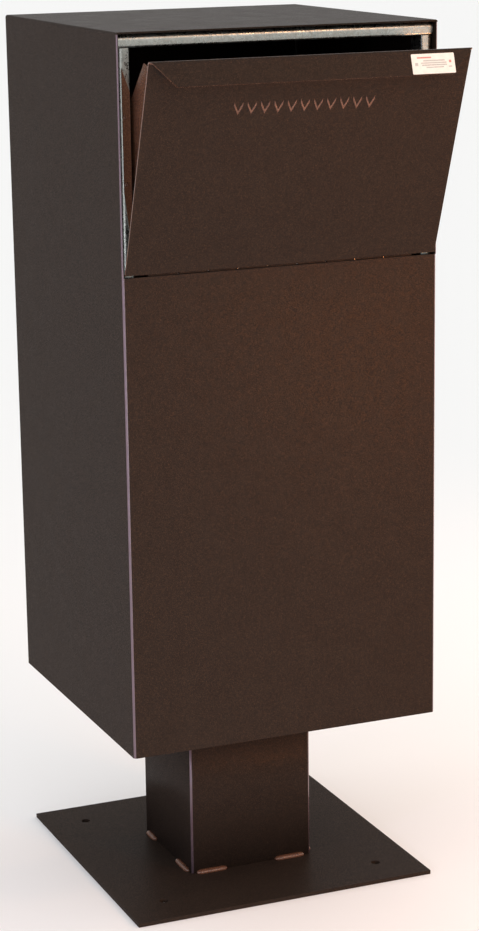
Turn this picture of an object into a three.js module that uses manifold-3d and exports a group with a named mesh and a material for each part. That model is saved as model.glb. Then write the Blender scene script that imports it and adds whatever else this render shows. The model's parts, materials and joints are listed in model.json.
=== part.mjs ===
// Pedestal parcel drop box: a folded-sheet cabinet on a square post, with a tilting hopper door
// at the front, a hinged and locked retrieval door at the back, and a bolted base plate.
// Millimetres, +Z up, front towards -Y. The origin is the middle of the base plate's underside.

import * as THREE from "three";
import { mergeVertices } from "three/addons/utils/BufferGeometryUtils.js";
import Module from "manifold-3d";

const wasm = await Module();
wasm.setup();

// ---------- driving dimensions ----------

const GAP = 0.3; // between pieces that touch, and all round a pin or a shank in its hole

// Cabinet shell
const BODY_WIDTH = 381;
const BODY_DEPTH = 385;
const BODY_HEIGHT = 812.8;
const SHEET = 2; // painted sheet
const CORNER_BEND = 4; // outer radius of the folded front corners
const OPENING_HEIGHT = 263; // from the lower front panel's top edge to the roof

// Pedestal
const BASE_SIZE = 377;
const BASE_THICKNESS = 4.8;
const ANCHOR_EDGE = 50; // anchor hole to the base plate's edge
const ANCHOR_HOLE_RADIUS = 5.5;
const POST_SIZE = 158;
const POST_WALL = 3.2;
const POST_CORNER = 5;
const POST_HEIGHT = 203.2; // base plate's top to the cabinet's underside
const FLANGE_OVERHANG = 38; // top flange past the post's faces
const FLANGE_THICKNESS = 4.8;
const BOLT_RADIUS = 5;
const BOLT_HEX = 17; // across flats, bolt heads and nuts alike
const BOLT_HEAD_HEIGHT = 6.4;
const BOLT_NUT_HEIGHT = 8;
const BOLT_TAIL = 3; // thread past the nut

// Galvanised frame round the hopper opening
const FRAME_SHEET = 1.5;
const FRAME_RECESS = 7; // behind the cabinet's front plane
const FRAME_FACE = 15; // width of the flange seen from the front
const FRAME_LIP = 25; // depth of the inner lip
const FRAME_BEND = 2.5; // outer radius of the fold between flange and lip
const GUARD_THICKNESS = 1.2;
const GUARD_INSET = 1; // guard's inner edge to the frame's inner edge
const GUARD_WIDTH = 9;
const GUARD_TOP = 46; // guard's highest point below the frame's lower head edge
const GUARD_SLANT = 25; // height of the slanting cut at the guard's top
const GUARD_FOOT = 11; // guard's lowest point above the lower front panel
const GUARD_TAPER = 82; // height of the long taper at the guard's foot
const SCREW_RADIUS = 2.4;
const SCREW_SHANK_RADIUS = 1.2;
const SCREW_HEAD = 1.4;
const SCREW_INSET = 2.6; // screw axis from the guard's outer edge
const SCREW_DROPS = [52, 124]; // below the guard's highest point

// Hopper
const OPEN_ANGLE = 20.2; // degrees, the pose that the box is modelled in
const FULL_OPEN_ANGLE = 50.2;
const DOOR_SIDE_CLEARANCE = 1.2;
const DOOR_FOOT_CLEARANCE = 4; // over the lower front panel
const DOOR_HEAD_CLEARANCE = 6.2; // door's top edge to the roof's underside when closed
const LIP_FORWARD = 19.1; // pull lip's free edge in front of the door's face
const LIP_DROP = 21.2; // and below the door's top edge
const LIP_MITRE = 27.4; // how far the free edge is cut back at each end
const WING_SHEET = 1.5;
const WING_CLEARANCE = 4; // wing to the frame's inner lip
const WING_HEAD_CLEARANCE = 8.8; // wing's top to the frame's head when closed
const WING_TOP_DEPTH = 48;
const WING_SLOPE = 24.8; // degrees off the door's plane
const WING_WAIST = 97; // wing's depth at the hinge axis's height
const WING_TAIL = [25.5, 54]; // wing's tail behind and above the tray's end
const TRAY_ANGLE = 145; // between the door and the tray
const TRAY_BACK_SPACE = 75; // tray's swept arc to the back sheet
const TRAY_SHEET = 1.5;
const TRAY_OFFSET = 3; // tray's underside above the hinge axis
const TRAY_FLANGE = 28; // upstand that is riveted to the door
const TRAY_RIB_DEPTH = 10;
const TRAY_RIB_WIDTH = 24;
const TRAY_RIB_INSET = 130; // rib's middle to the tray's free edge
const STOP_TAB_PLAY = 2.1; // tab to the jamb's inner edge when fully open
const STOP_TAB_TOP = 40;
const STOP_TAB_HEIGHT = 18;
const STOP_TAB_REACH = 10;
const BUMPER_RADIUS = 4;
const BUMPER_PLAY = 0.6; // bumper to the frame when closed
const BUMPER_DROP = 12; // below the door's top edge
const LABEL_LENGTH = 51.5;
const LABEL_HEIGHT = 22;
const LABEL_FILM = 0.4;
const LABEL_INSET = 50.5; // label's middle to the door's right edge
const LABEL_PROUD = 0.7; // film clear of the lip's rounded top edge
const SILL_DROP = 7; // sill's top edge below the hinge axis
const SILL_HEIGHT = 22;
const SILL_DEPTH = 12.5;

// Piano hinges, front and rear
const PIN_RADIUS = 1.2;
const KNUCKLE_RADIUS = 2.2;
const LEAF_THICKNESS = 1.2;
const LEAF_WIDTH = 22;
const LEAF_CLEARANCE = 0.5; // leaf to the other leaf's knuckles
const KNUCKLE_SPACE = 1;
const KNUCKLE_SUNK = 1; // hopper's hinge axis below the knuckles' seat on the panel's edge
const HOPPER_HINGE_INSET = 27.3; // hinge's ends to the door's side edges
const HOPPER_KNUCKLES = 9;
const REAR_KNUCKLES = 11;

// Retrieval door, lock and baffle
const REAR_DOOR_MARGIN = 32.5; // door's side edges to the cabinet's sides
const REAR_DOOR_DROP = 19; // door's upper edge below the hopper's hinge axis
const REAR_DOOR_FOOT = 34; // door's lower edge above the cabinet's underside
const REAR_DOOR_CLEARANCE = 2;
const REAR_HINGE_INSET = 14; // hinge ends below and above the door's edges
const STOP_STRIP_WIDTH = 20;
const STOP_STRIP_LAP = 8;
const STIFFENER_WIDTH = 30;
const STIFFENER_DEPTH = 12;
const LOCK_EDGE = 28; // lock axis to the door's free edge
const LOCK_BARREL_RADIUS = 9.5;
const LOCK_FLANGE_RADIUS = 12;
const LOCK_FLANGE = 2.4;
const LOCK_PLUG_RADIUS = 6;
const LOCK_NUT_HEX = 24;
const LOCK_NUT_HEIGHT = 2.6;
const LOCK_TAIL_HALF = 3;
const KEYWAY = [1.6, 6.4, 4]; // width, height, depth
const CAM_THICKNESS = 2;
const CAM_REACH = 45;
const CAM_HALF_WIDTH = 8;
const STRIKE_THICKNESS = 3;
const STRIKE_WIDTH = 20;
const STRIKE_HEIGHT = 40;
const BAFFLE_SHEET = 1.5;
const BAFFLE_FLANGE = 25;
const BAFFLE_CLEARANCE = 9; // baffle's lower edge to the tray's swept arc
const BAFFLE_EDGE_DROP = 17; // baffle's lower edge below the hinge axis
const BAFFLE_RISE = 48;
const BAFFLE_SIDE_CLEARANCE = 8;

// ---------- places that follow from them ----------

const bodyBottom = BASE_THICKNESS + POST_HEIGHT;
const bodyTop = bodyBottom + BODY_HEIGHT;
const roofUnderside = bodyTop - SHEET;
const frontFace = -BODY_DEPTH / 2;
const rearFace = BODY_DEPTH / 2;
const sideInner = BODY_WIDTH / 2 - SHEET;
const panelTop = bodyTop - OPENING_HEIGHT;

const frameFace = frontFace + FRAME_RECESS;
const frameOuter = sideInner - GAP;
const frameInner = sideInner - FRAME_FACE;
const headLower = roofUnderside - FRAME_FACE;

const hingeBack = GAP + LEAF_THICKNESS + LEAF_CLEARANCE; // axis behind the sheet's inner face
const hopperAxisY = frontFace + SHEET + hingeBack;
const hopperAxisZ = panelTop + KNUCKLE_RADIUS - KNUCKLE_SUNK;
const doorHalf = sideInner - DOOR_SIDE_CLEARANCE;
const doorBack = -hingeBack;
const doorFoot = panelTop + DOOR_FOOT_CLEARANCE - hopperAxisZ;
const doorHead = roofUnderside - DOOR_HEAD_CLEARANCE - hopperAxisZ;
const wingInner = frameInner - WING_CLEARANCE - WING_SHEET;
const trayHalf = wingInner - GAP;
const leafBack = doorBack + GAP + LEAF_THICKNESS;
const wingTop = headLower - WING_HEAD_CLEARANCE - hopperAxisZ;
const rearInner = rearFace - SHEET;
const trayLength = rearInner - TRAY_BACK_SPACE - hopperAxisY;
const bumperHeight = FRAME_RECESS - SHEET - GAP - BUMPER_PLAY;
const hopperHingeLength = 2 * (doorHalf - HOPPER_HINGE_INSET);

const rearDoorLow = bodyBottom + REAR_DOOR_FOOT;
const rearDoorHigh = hopperAxisZ - REAR_DOOR_DROP;
const rearDoorHalf = BODY_WIDTH / 2 - REAR_DOOR_MARGIN;
const rearAxisX = -(rearDoorHalf + REAR_DOOR_CLEARANCE / 2);
const rearAxisY = rearFace + GAP + LEAF_THICKNESS + LEAF_CLEARANCE + GAP;
const lockX = rearDoorHalf - LOCK_EDGE;
const lockZ = (rearDoorLow + rearDoorHigh) / 2;
const camFront = rearInner - GAP - STRIKE_THICKNESS - GAP - GAP;

// ---------- finishes ----------

const finish = (color, roughness, metalness) =>
  new THREE.MeshStandardMaterial({ color, roughness, metalness });
const bronzeCoat = finish(0x3e2e26, 0.5, 0.35);
const galvanised = finish(0xb4b5ac, 0.4, 0.9);
const zincSteel = finish(0xa3a39e, 0.35, 0.95);
const brightSteel = finish(0xc4c4c2, 0.25, 1);
const blackRubber = finish(0x191919, 0.85, 0);
const whiteFilm = finish(0xefece4, 0.6, 0);

// ---------- geometry helpers ----------

const radians = THREE.MathUtils.degToRad;

// A box between two corners.
function block(low, high) {
  const size = high.map((v, i) => v - low[i]);
  const middle = high.map((v, i) => (v + low[i]) / 2);
  return new THREE.BoxGeometry(...size).translate(...middle);
}

// An outline from points, closed, and turned to run counter-clockwise so that holes cut it.
function outline(points) {
  const corners = points.map(([a, b]) => new THREE.Vector2(a, b));
  return new THREE.Shape(THREE.ShapeUtils.isClockWise(corners) ? corners.reverse() : corners);
}

function rectangle(a0, a1, b0, b1) {
  return outline([
    [a0, b0],
    [a1, b0],
    [a1, b1],
    [a0, b1],
  ]);
}

function roundHole(shape, x, y, radius) {
  shape.holes.push(new THREE.Path().absarc(x, y, radius, 0, 2 * Math.PI, true));
}

// Extrusions: an outline in X,Y rises along Z; one in Y,Z runs along X; one in X,Z runs along Y.
function alongZ(shape, z0, z1, curveSegments = 6) {
  const options = { depth: z1 - z0, bevelEnabled: false, curveSegments };
  return new THREE.ExtrudeGeometry(shape, options).translate(0, 0, z0);
}

function turned(geometry, xAxis, yAxis, zAxis) {
  const basis = new THREE.Matrix4().makeBasis(
    new THREE.Vector3(...xAxis),
    new THREE.Vector3(...yAxis),
    new THREE.Vector3(...zAxis),
  );
  return geometry.applyMatrix4(basis);
}

function alongX(shape, x0, x1, curveSegments = 6) {
  return turned(alongZ(shape, x0, x1, curveSegments), [0, 1, 0], [0, 0, 1], [1, 0, 0]);
}

function alongY(shape, y0, y1, curveSegments = 6) {
  return turned(alongZ(shape, -y1, -y0, curveSegments), [1, 0, 0], [0, 0, 1], [0, -1, 0]);
}

function toSolid(geometry) {
  const bare = geometry.clone();
  bare.deleteAttribute("normal");
  bare.deleteAttribute("uv");
  const merged = mergeVertices(bare, 1e-4);
  return new wasm.Manifold(
    new wasm.Mesh({
      numProp: 3,
      vertProperties: new Float32Array(merged.attributes.position.array),
      triVerts: new Uint32Array(merged.index.array),
    }),
  );
}

function toGeometry(solid) {
  const mesh = solid.getMesh();
  const geometry = new THREE.BufferGeometry();
  geometry.setAttribute("position", new THREE.BufferAttribute(mesh.vertProperties, 3));
  geometry.setIndex(new THREE.BufferAttribute(mesh.triVerts, 1));
  const flat = geometry.toNonIndexed();
  flat.computeVertexNormals();
  return flat;
}

function joined(pieces) {
  return toGeometry(pieces.map(toSolid).reduce((sum, piece) => sum.add(piece)));
}

function cutFrom(piece, tools) {
  return toGeometry(tools.map(toSolid).reduce((rest, tool) => rest.subtract(tool), toSolid(piece)));
}

function node(group, name, geometry, material) {
  const mesh = new THREE.Mesh(geometry, material);
  mesh.name = name;
  group.add(mesh);
  return mesh;
}

// A round bar along Y, from a list of [radius, y] steps that starts and ends on the axis.
function lathedAlongY(profile, segments = 24) {
  const points = profile.map(([r, y]) => new THREE.Vector2(r, y));
  return new THREE.LatheGeometry(points, segments);
}

function hexagon(acrossFlats) {
  const corner = acrossFlats / Math.sqrt(3);
  const angles = [0, 1, 2, 3, 4, 5].map((i) => (i * Math.PI) / 3);
  return outline(angles.map((a) => [corner * Math.cos(a), corner * Math.sin(a)]));
}

// A flanged L of sheet, its outer bend rounded: the face runs along a, the lip along b.
function angleProfile(face, lip, sheet, bend) {
  const shape = new THREE.Shape();
  shape.moveTo(face, 0);
  shape.lineTo(face, sheet);
  shape.lineTo(sheet, sheet);
  shape.lineTo(sheet, lip);
  shape.lineTo(0, lip);
  shape.lineTo(0, bend);
  shape.absarc(bend, bend, bend, Math.PI, 1.5 * Math.PI, false);
  return shape;
}

// ---------- pedestal ----------

function basePlate() {
  const half = BASE_SIZE / 2;
  const shape = rectangle(-half, half, -half, half);
  const hole = half - ANCHOR_EDGE;
  for (const x of [-hole, hole]) {
    for (const y of [-hole, hole]) roundHole(shape, x, y, ANCHOR_HOLE_RADIUS);
  }
  return alongZ(shape, 0, BASE_THICKNESS, 8);
}

function roundedSquare(Kind, half, radius) {
  const shape = new Kind();
  const c = half - radius;
  shape.absarc(c, c, radius, 0, Math.PI / 2, false);
  shape.absarc(-c, c, radius, Math.PI / 2, Math.PI, false);
  shape.absarc(-c, -c, radius, Math.PI, 1.5 * Math.PI, false);
  shape.absarc(c, -c, radius, 1.5 * Math.PI, 2 * Math.PI, false);
  return shape;
}

function pedestalPost() {
  const shape = roundedSquare(THREE.Shape, POST_SIZE / 2, POST_CORNER);
  const bore = POST_SIZE / 2 - POST_WALL;
  shape.holes.push(roundedSquare(THREE.Path, bore, POST_CORNER - POST_WALL));
  const top = bodyBottom - GAP - FLANGE_THICKNESS - GAP;
  return alongZ(shape, BASE_THICKNESS + GAP, top);
}

const flangeHalf = POST_SIZE / 2 + FLANGE_OVERHANG;
const boltPlace = POST_SIZE / 2 + FLANGE_OVERHANG / 2;
const boltPlaces = [
  ["front_left", -boltPlace, -boltPlace],
  ["front_right", boltPlace, -boltPlace],
  ["rear_left", -boltPlace, boltPlace],
  ["rear_right", boltPlace, boltPlace],
];

function drilledPlate(half, z0, z1) {
  const shape = rectangle(-half, half, -half, half);
  for (const [, x, y] of boltPlaces) roundHole(shape, x, y, BOLT_RADIUS + GAP);
  return alongZ(shape, z0, z1);
}

function postTopFlange() {
  const top = bodyBottom - GAP;
  return drilledPlate(flangeHalf, top - FLANGE_THICKNESS, top);
}

// A hexagon-head bolt, head inside the cabinet and thread downwards through flange and nut.
function flangeBolt() {
  const seat = bodyBottom + SHEET + GAP;
  const nutUnderside = bodyBottom - GAP - FLANGE_THICKNESS - GAP - BOLT_NUT_HEIGHT;
  const head = alongZ(hexagon(BOLT_HEX), seat, seat + BOLT_HEAD_HEIGHT);
  const length = seat + 1 - (nutUnderside - BOLT_TAIL);
  const shank = new THREE.CylinderGeometry(BOLT_RADIUS, BOLT_RADIUS, length, 20);
  shank.rotateX(Math.PI / 2).translate(0, 0, seat + 1 - length / 2);
  return joined([head, shank]);
}

function flangeNut() {
  const shape = hexagon(BOLT_HEX);
  roundHole(shape, 0, 0, BOLT_RADIUS + GAP);
  const top = bodyBottom - GAP - FLANGE_THICKNESS - GAP;
  return alongZ(shape, top - BOLT_NUT_HEIGHT, top);
}

// ---------- cabinet shell ----------

// A side sheet, cut back at the front below the opening for the front panel's folded corner.
function sidePanel(side) {
  const foldEnd = frontFace + CORNER_BEND + GAP;
  const shape = outline([
    [foldEnd, bodyBottom],
    [rearFace, bodyBottom],
    [rearFace, roofUnderside - GAP],
    [frontFace, roofUnderside - GAP],
    [frontFace, panelTop],
    [foldEnd, panelTop],
  ]);
  const outer = BODY_WIDTH / 2;
  return alongX(shape, side < 0 ? -outer : sideInner, side < 0 ? -sideInner : outer);
}

// The fixed front sheet below the hopper, with both upright edges folded round the corners.
function lowerFrontPanel() {
  const outer = BODY_WIDTH / 2;
  const centre = frontFace + CORNER_BEND;
  const inner = CORNER_BEND - SHEET;
  const shape = new THREE.Shape();
  shape.absarc(-outer + CORNER_BEND, centre, CORNER_BEND, Math.PI, 1.5 * Math.PI, false);
  shape.absarc(outer - CORNER_BEND, centre, CORNER_BEND, 1.5 * Math.PI, 2 * Math.PI, false);
  shape.absarc(outer - CORNER_BEND, centre, inner, 2 * Math.PI, 1.5 * Math.PI, true);
  shape.absarc(-outer + CORNER_BEND, centre, inner, 1.5 * Math.PI, Math.PI, true);
  return alongZ(shape, bodyBottom, panelTop);
}

function topPanel() {
  const half = BODY_WIDTH / 2;
  return block([-half, frontFace, roofUnderside], [half, rearFace, bodyTop]);
}

// The floor sheet, with its front corners cut to clear the folded corners' inner bends.
function bottomPanel() {
  const half = sideInner - GAP;
  const depth = rearInner - GAP;
  const cut = CORNER_BEND - SHEET - GAP;
  const shape = outline([
    [-half, depth],
    [-half, cut - depth],
    [cut - half, -depth],
    [half - cut, -depth],
    [half, cut - depth],
    [half, depth],
  ]);
  for (const [, x, y] of boltPlaces) roundHole(shape, x, y, BOLT_RADIUS + GAP);
  return alongZ(shape, bodyBottom, bodyBottom + SHEET);
}

// The back sheet, with the retrieval doorway cut out of it.
function backPanel() {
  const half = sideInner - GAP;
  const shape = rectangle(-half, half, bodyBottom, roofUnderside - GAP);
  const c = REAR_DOOR_CLEARANCE;
  const doorway = [
    [-rearDoorHalf - c, rearDoorLow - c],
    [-rearDoorHalf - c, rearDoorHigh + c],
    [rearDoorHalf + c, rearDoorHigh + c],
    [rearDoorHalf + c, rearDoorLow - c],
  ];
  shape.holes.push(new THREE.Path(doorway.map(([x, z]) => new THREE.Vector2(x, z))));
  return alongY(shape, rearInner, rearFace);
}

// ---------- galvanised opening frame ----------

function openingHead() {
  // a runs down from the roof, b runs back from the frame's face
  const profile = angleProfile(FRAME_FACE - GAP, FRAME_LIP, FRAME_SHEET, FRAME_BEND);
  const bar = alongZ(profile, -frameOuter, frameOuter);
  turned(bar, [0, 0, 1], [0, 1, 0], [-1, 0, 0]);
  return bar.translate(0, frameFace, headLower);
}

function openingJamb(side) {
  const profile = angleProfile(frameOuter - frameInner, FRAME_LIP, FRAME_SHEET, FRAME_BEND);
  const foot = hopperAxisZ - SILL_DROP - SILL_HEIGHT + SHEET + GAP;
  const bar = alongZ(profile, foot, headLower - GAP);
  if (side > 0) return bar.translate(frameInner, frameFace, 0);
  const mirror = new THREE.Matrix4().makeScale(-1, 1, 1);
  return flipped(bar.translate(frameInner, frameFace, 0).applyMatrix4(mirror));
}

// A mirrored geometry's triangles, turned to face out again.
function flipped(geometry) {
  const plain = geometry.index ? geometry.toNonIndexed() : geometry;
  const p = plain.getAttribute("position");
  for (let i = 0; i < p.count; i += 3) {
    const b = [p.getX(i + 1), p.getY(i + 1), p.getZ(i + 1)];
    p.setXYZ(i + 1, p.getX(i + 2), p.getY(i + 2), p.getZ(i + 2));
    p.setXYZ(i + 2, ...b);
  }
  plain.computeVertexNormals();
  return plain;
}

const guardTop = headLower - GUARD_TOP + GUARD_SLANT;
const guardFace = frameFace - GAP - GUARD_THICKNESS;
const guardFoot = panelTop + GUARD_FOOT;
const guardInner = frameInner + GUARD_INSET;
const guardOuter = guardInner + GUARD_WIDTH;

// A painted strip over the jamb's face, slanted at its top and tapering away at its foot.
function jambGuard(side) {
  const points = [
    [guardInner, guardFoot],
    [guardOuter, guardFoot + GUARD_TAPER],
    [guardOuter, guardTop],
    [guardInner, guardTop - GUARD_SLANT],
  ];
  const shape = outline(points.map(([x, z]) => [side * x, z]));
  const screwX = side * (guardOuter - SCREW_INSET);
  for (const drop of SCREW_DROPS) {
    roundHole(shape, screwX, guardTop - drop, SCREW_SHANK_RADIUS + GAP);
  }
  return alongY(shape, guardFace, guardFace + GUARD_THICKNESS, 6);
}

// A low pan head on a short shank that stops short of the frame's flange.
function guardScrew(side, drop) {
  const seat = guardFace - GAP;
  const profile = [
    [0, seat + GUARD_THICKNESS],
    [SCREW_SHANK_RADIUS, seat + GUARD_THICKNESS],
    [SCREW_SHANK_RADIUS, seat],
    [SCREW_RADIUS, seat],
    [SCREW_RADIUS, seat - 0.5 * SCREW_HEAD],
    [0.75 * SCREW_RADIUS, seat - SCREW_HEAD],
    [0, seat - SCREW_HEAD],
  ].reverse();
  const screw = lathedAlongY(profile, 16);
  return screw.translate(side * (guardOuter - SCREW_INSET), 0, guardTop - drop);
}

// Cross angle behind the front panel's top edge, which carries the hopper's hinge.
function sillAngle() {
  const profile = angleProfile(SILL_HEIGHT, SILL_DEPTH, SHEET, SHEET);
  const half = sideInner - GAP;
  const bar = alongZ(profile, -half, half);
  turned(bar, [0, 0, 1], [0, 1, 0], [-1, 0, 0]);
  const faceY = hopperAxisY + leafBack + GAP;
  return bar.translate(0, faceY, hopperAxisZ - SILL_DROP - SILL_HEIGHT);
}

// ---------- piano hinges ----------

// One leaf with its knuckles: the axis is X, the leaf stands at heights u, behind by b.
function hingeLeaf(length, knuckles, first, upwards, leafFace) {
  const pitch = length / knuckles;
  const near = KNUCKLE_RADIUS + LEAF_CLEARANCE;
  const half = length / 2;
  const b = [leafFace, leafFace + LEAF_THICKNESS];
  const sign = upwards ? 1 : -1;
  const span = (u0, u1) => [Math.min(sign * u0, sign * u1), Math.max(sign * u0, sign * u1)];
  const [low, high] = span(near, LEAF_WIDTH);
  const pieces = [block([-half, b[0], low], [half, b[1], high])];
  const bores = [];
  for (let i = first; i < knuckles; i += 2) {
    const x0 = -half + i * pitch + KNUCKLE_SPACE / 2;
    const x1 = x0 + pitch - KNUCKLE_SPACE;
    const [webLow, webHigh] = span(0, near + 1);
    pieces.push(block([x0, b[0], webLow], [x1, b[1], webHigh]));
    pieces.push(barAlongX(KNUCKLE_RADIUS, x0, x1, 16));
    bores.push(barAlongX(PIN_RADIUS + GAP, x0 - 1, x1 + 1, 16));
  }
  return cutFrom(joined(pieces), bores);
}

function barAlongX(radius, x0, x1, sides) {
  const bar = new THREE.CylinderGeometry(radius, radius, x1 - x0, sides);
  return bar.rotateZ(Math.PI / 2).translate((x0 + x1) / 2, 0, 0);
}

function hingePin(length) {
  return barAlongX(PIN_RADIUS, -length / 2, length / 2, 12);
}

// ---------- hopper, in the hinge axis's own frame: x across, y behind the door, z up it ----------

// The face sheet and its pull lip, folded forwards and down at the top.
function hopperDoorPanel() {
  const face = doorBack - SHEET;
  const slope = Math.hypot(LIP_FORWARD, LIP_DROP);
  const free = [face - LIP_FORWARD, doorHead - LIP_DROP];
  const underFree = [
    free[0] + (SHEET * LIP_DROP) / slope,
    free[1] - (SHEET * LIP_FORWARD) / slope,
  ];
  const profile = outline([
    [face, doorFoot],
    [doorBack, doorFoot],
    [doorBack, doorHead - 1.2 * SHEET],
    [doorBack - 0.25 * SHEET, doorHead - 0.35 * SHEET],
    [doorBack - 0.8 * SHEET, doorHead],
    [face - 0.3 * SHEET, doorHead - 0.25 * SHEET],
    free,
    underFree,
    [face, doorHead - (SHEET * slope) / LIP_FORWARD],
  ]);
  const bar = alongX(profile, -doorHalf, doorHalf);
  return cutFrom(bar, [-1, 1].map(lipMitre));
}

// A wedge that cuts the lip's end back towards its free edge, in front of the door's face.
function lipMitre(side) {
  const front = doorBack - SHEET - LIP_FORWARD;
  const start = doorBack - SHEET - 0.8;
  const slope = LIP_MITRE / (start - front);
  const beyond = front - 5;
  const reach = doorHalf + 5;
  const shape = outline([
    [side * (doorHalf - slope * (start - beyond)), beyond],
    [side * reach, beyond],
    [side * reach, start],
    [side * doorHalf, start],
  ]);
  return alongZ(shape, doorHead - LIP_DROP - 8, doorHead + 3);
}

// The film label lies on the lip's outer slope.
function lipLabel() {
  const film = block(
    [-LABEL_LENGTH / 2, -LABEL_FILM / 2, -LABEL_HEIGHT / 2],
    [LABEL_LENGTH / 2, LABEL_FILM / 2, LABEL_HEIGHT / 2],
  );
  const slope = Math.atan2(LIP_FORWARD, LIP_DROP);
  const out = LABEL_FILM / 2 + GAP + LABEL_PROUD;
  film.rotateX(-slope);
  return film.translate(
    doorHalf - LABEL_INSET,
    doorBack - SHEET - LIP_FORWARD / 2 - out * Math.cos(slope),
    doorHead - LIP_DROP / 2 + out * Math.sin(slope),
  );
}

// Unit steps along the tray, away from the hinge, and square to it, into the bucket.
const trayTurn = radians(TRAY_ANGLE);
const alongTray = [Math.sin(trayTurn), Math.cos(trayTurn)];
const overTray = [-Math.cos(trayTurn), Math.sin(trayTurn)];

function trayPoint(along, over) {
  return [0, 1].map((i) => along * alongTray[i] + over * overTray[i]);
}

// Where an upright line a given distance behind the hinge meets a plane over the tray.
function trayMeets(behind, over) {
  return [behind, (over - behind * overTray[0]) / overTray[1]];
}

function hopperTray() {
  const flange = leafBack + GAP;
  const under = trayMeets(flange, TRAY_OFFSET);
  const upper = trayMeets(flange + TRAY_SHEET, TRAY_OFFSET + TRAY_SHEET);
  const shape = outline([
    [flange, under[1] + TRAY_FLANGE],
    under,
    trayPoint(trayLength, TRAY_OFFSET),
    trayPoint(trayLength, TRAY_OFFSET + TRAY_SHEET),
    upper,
    [flange + TRAY_SHEET, under[1] + TRAY_FLANGE],
  ]);
  return alongX(shape, -trayHalf, trayHalf);
}

// A folded rib across the tray's underside.
function trayRib() {
  const top = TRAY_OFFSET - GAP;
  const low = top - TRAY_RIB_DEPTH;
  const middle = trayLength - TRAY_RIB_INSET;
  const from = middle - TRAY_RIB_WIDTH / 2;
  const to = middle + TRAY_RIB_WIDTH / 2;
  const shape = outline([
    trayPoint(from, top),
    trayPoint(from, low),
    trayPoint(to, low),
    trayPoint(to, top),
    trayPoint(to - TRAY_SHEET, top),
    trayPoint(to - TRAY_SHEET, low + TRAY_SHEET),
    trayPoint(from + TRAY_SHEET, low + TRAY_SHEET),
    trayPoint(from + TRAY_SHEET, top),
  ]);
  return alongX(shape, -trayHalf + 20, trayHalf - 20);
}

// A side plate of the bucket, from the door's back to the tray's tail.
function hopperWing(side) {
  const front = doorBack + GAP;
  const slope = Math.tan(radians(WING_SLOPE));
  const trayEnd = trayPoint(trayLength, TRAY_OFFSET);
  const shape = outline([
    trayMeets(front, TRAY_OFFSET),
    trayEnd,
    trayEnd.map((v, i) => v + WING_TAIL[i]),
    [WING_WAIST, 0],
    [WING_WAIST, wingTop - (WING_WAIST - WING_TOP_DEPTH) / slope],
    [WING_TOP_DEPTH, wingTop],
    [front, wingTop],
  ]);
  const outer = wingInner + WING_SHEET;
  return alongX(shape, side < 0 ? -outer : wingInner, side < 0 ? -wingInner : outer);
}

// How far behind the door a tab's top stands, so as to meet the jamb's inner edge when fully open.
function stopTabDepth() {
  const full = radians(FULL_OPEN_ANGLE);
  const jambEdge = frameFace + FRAME_LIP - hopperAxisY;
  return (jambEdge + STOP_TAB_PLAY + STOP_TAB_TOP * Math.sin(full)) / Math.cos(full);
}

function stopTab(side) {
  const depth = stopTabDepth();
  const inner = wingInner + WING_SHEET + GAP;
  const xs = [side * inner, side * (inner + STOP_TAB_REACH)].sort((a, b) => a - b);
  return block(
    [xs[0], depth - WING_SHEET, STOP_TAB_TOP - STOP_TAB_HEIGHT],
    [xs[1], depth, STOP_TAB_TOP],
  );
}

// A rubber button behind each of the door's top corners.
function doorBumper(side) {
  const seat = doorBack + GAP;
  const profile = [
    [0, seat],
    [BUMPER_RADIUS, seat],
    [BUMPER_RADIUS, seat + 0.7 * bumperHeight],
    [0.7 * BUMPER_RADIUS, seat + bumperHeight],
    [0, seat + bumperHeight],
  ];
  const x = side * (doorHalf - BUMPER_RADIUS - 2);
  return lathedAlongY(profile, 16).translate(x, 0, doorHead - BUMPER_DROP);
}

// ---------- retrieval door and lock, in the rear hinge axis's own frame ----------

function rearDoorPanel() {
  const x0 = -rearDoorHalf - rearAxisX;
  const x1 = rearDoorHalf - rearAxisX;
  const shape = rectangle(x0, x1, rearDoorLow, rearDoorHigh);
  roundHole(shape, lockX - rearAxisX, lockZ, LOCK_BARREL_RADIUS + GAP);
  return alongY(shape, rearInner - rearAxisY, rearFace - rearAxisY, 12);
}

// A hat-section rib down the inside of the door.
function rearDoorStiffener() {
  const back = rearInner - GAP - rearAxisY;
  const half = STIFFENER_WIDTH / 2;
  const profile = outline([
    [-half, back],
    [-half, back - STIFFENER_DEPTH],
    [half, back - STIFFENER_DEPTH],
    [half, back],
    [half - FRAME_SHEET, back],
    [half - FRAME_SHEET, back - STIFFENER_DEPTH + FRAME_SHEET],
    [-half + FRAME_SHEET, back - STIFFENER_DEPTH + FRAME_SHEET],
    [-half + FRAME_SHEET, back],
  ]);
  const inset = STOP_STRIP_LAP + 8;
  const rib = alongZ(profile, rearDoorLow + inset, rearDoorHigh - inset);
  return rib.translate(-rearAxisX, 0, 0);
}

const barrelEnd = camFront + 2 * GAP;

// The threaded barrel with its outer flange, bored for the plug.
function lockBody() {
  const bore = LOCK_PLUG_RADIUS + GAP;
  const face = rearFace + GAP;
  const profile = [
    [bore, barrelEnd],
    [LOCK_BARREL_RADIUS, barrelEnd],
    [LOCK_BARREL_RADIUS, face],
    [LOCK_FLANGE_RADIUS, face],
    [LOCK_FLANGE_RADIUS, face + 0.6 * LOCK_FLANGE],
    [LOCK_FLANGE_RADIUS - 1, face + LOCK_FLANGE],
    [bore, face + LOCK_FLANGE],
    [bore, barrelEnd],
  ];
  return lathedAlongY(profile, 32);
}

function lockNut() {
  const shape = hexagon(LOCK_NUT_HEX);
  roundHole(shape, 0, 0, LOCK_BARREL_RADIUS + GAP);
  return alongY(shape, rearInner - GAP - LOCK_NUT_HEIGHT, rearInner - GAP, 12);
}

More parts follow.
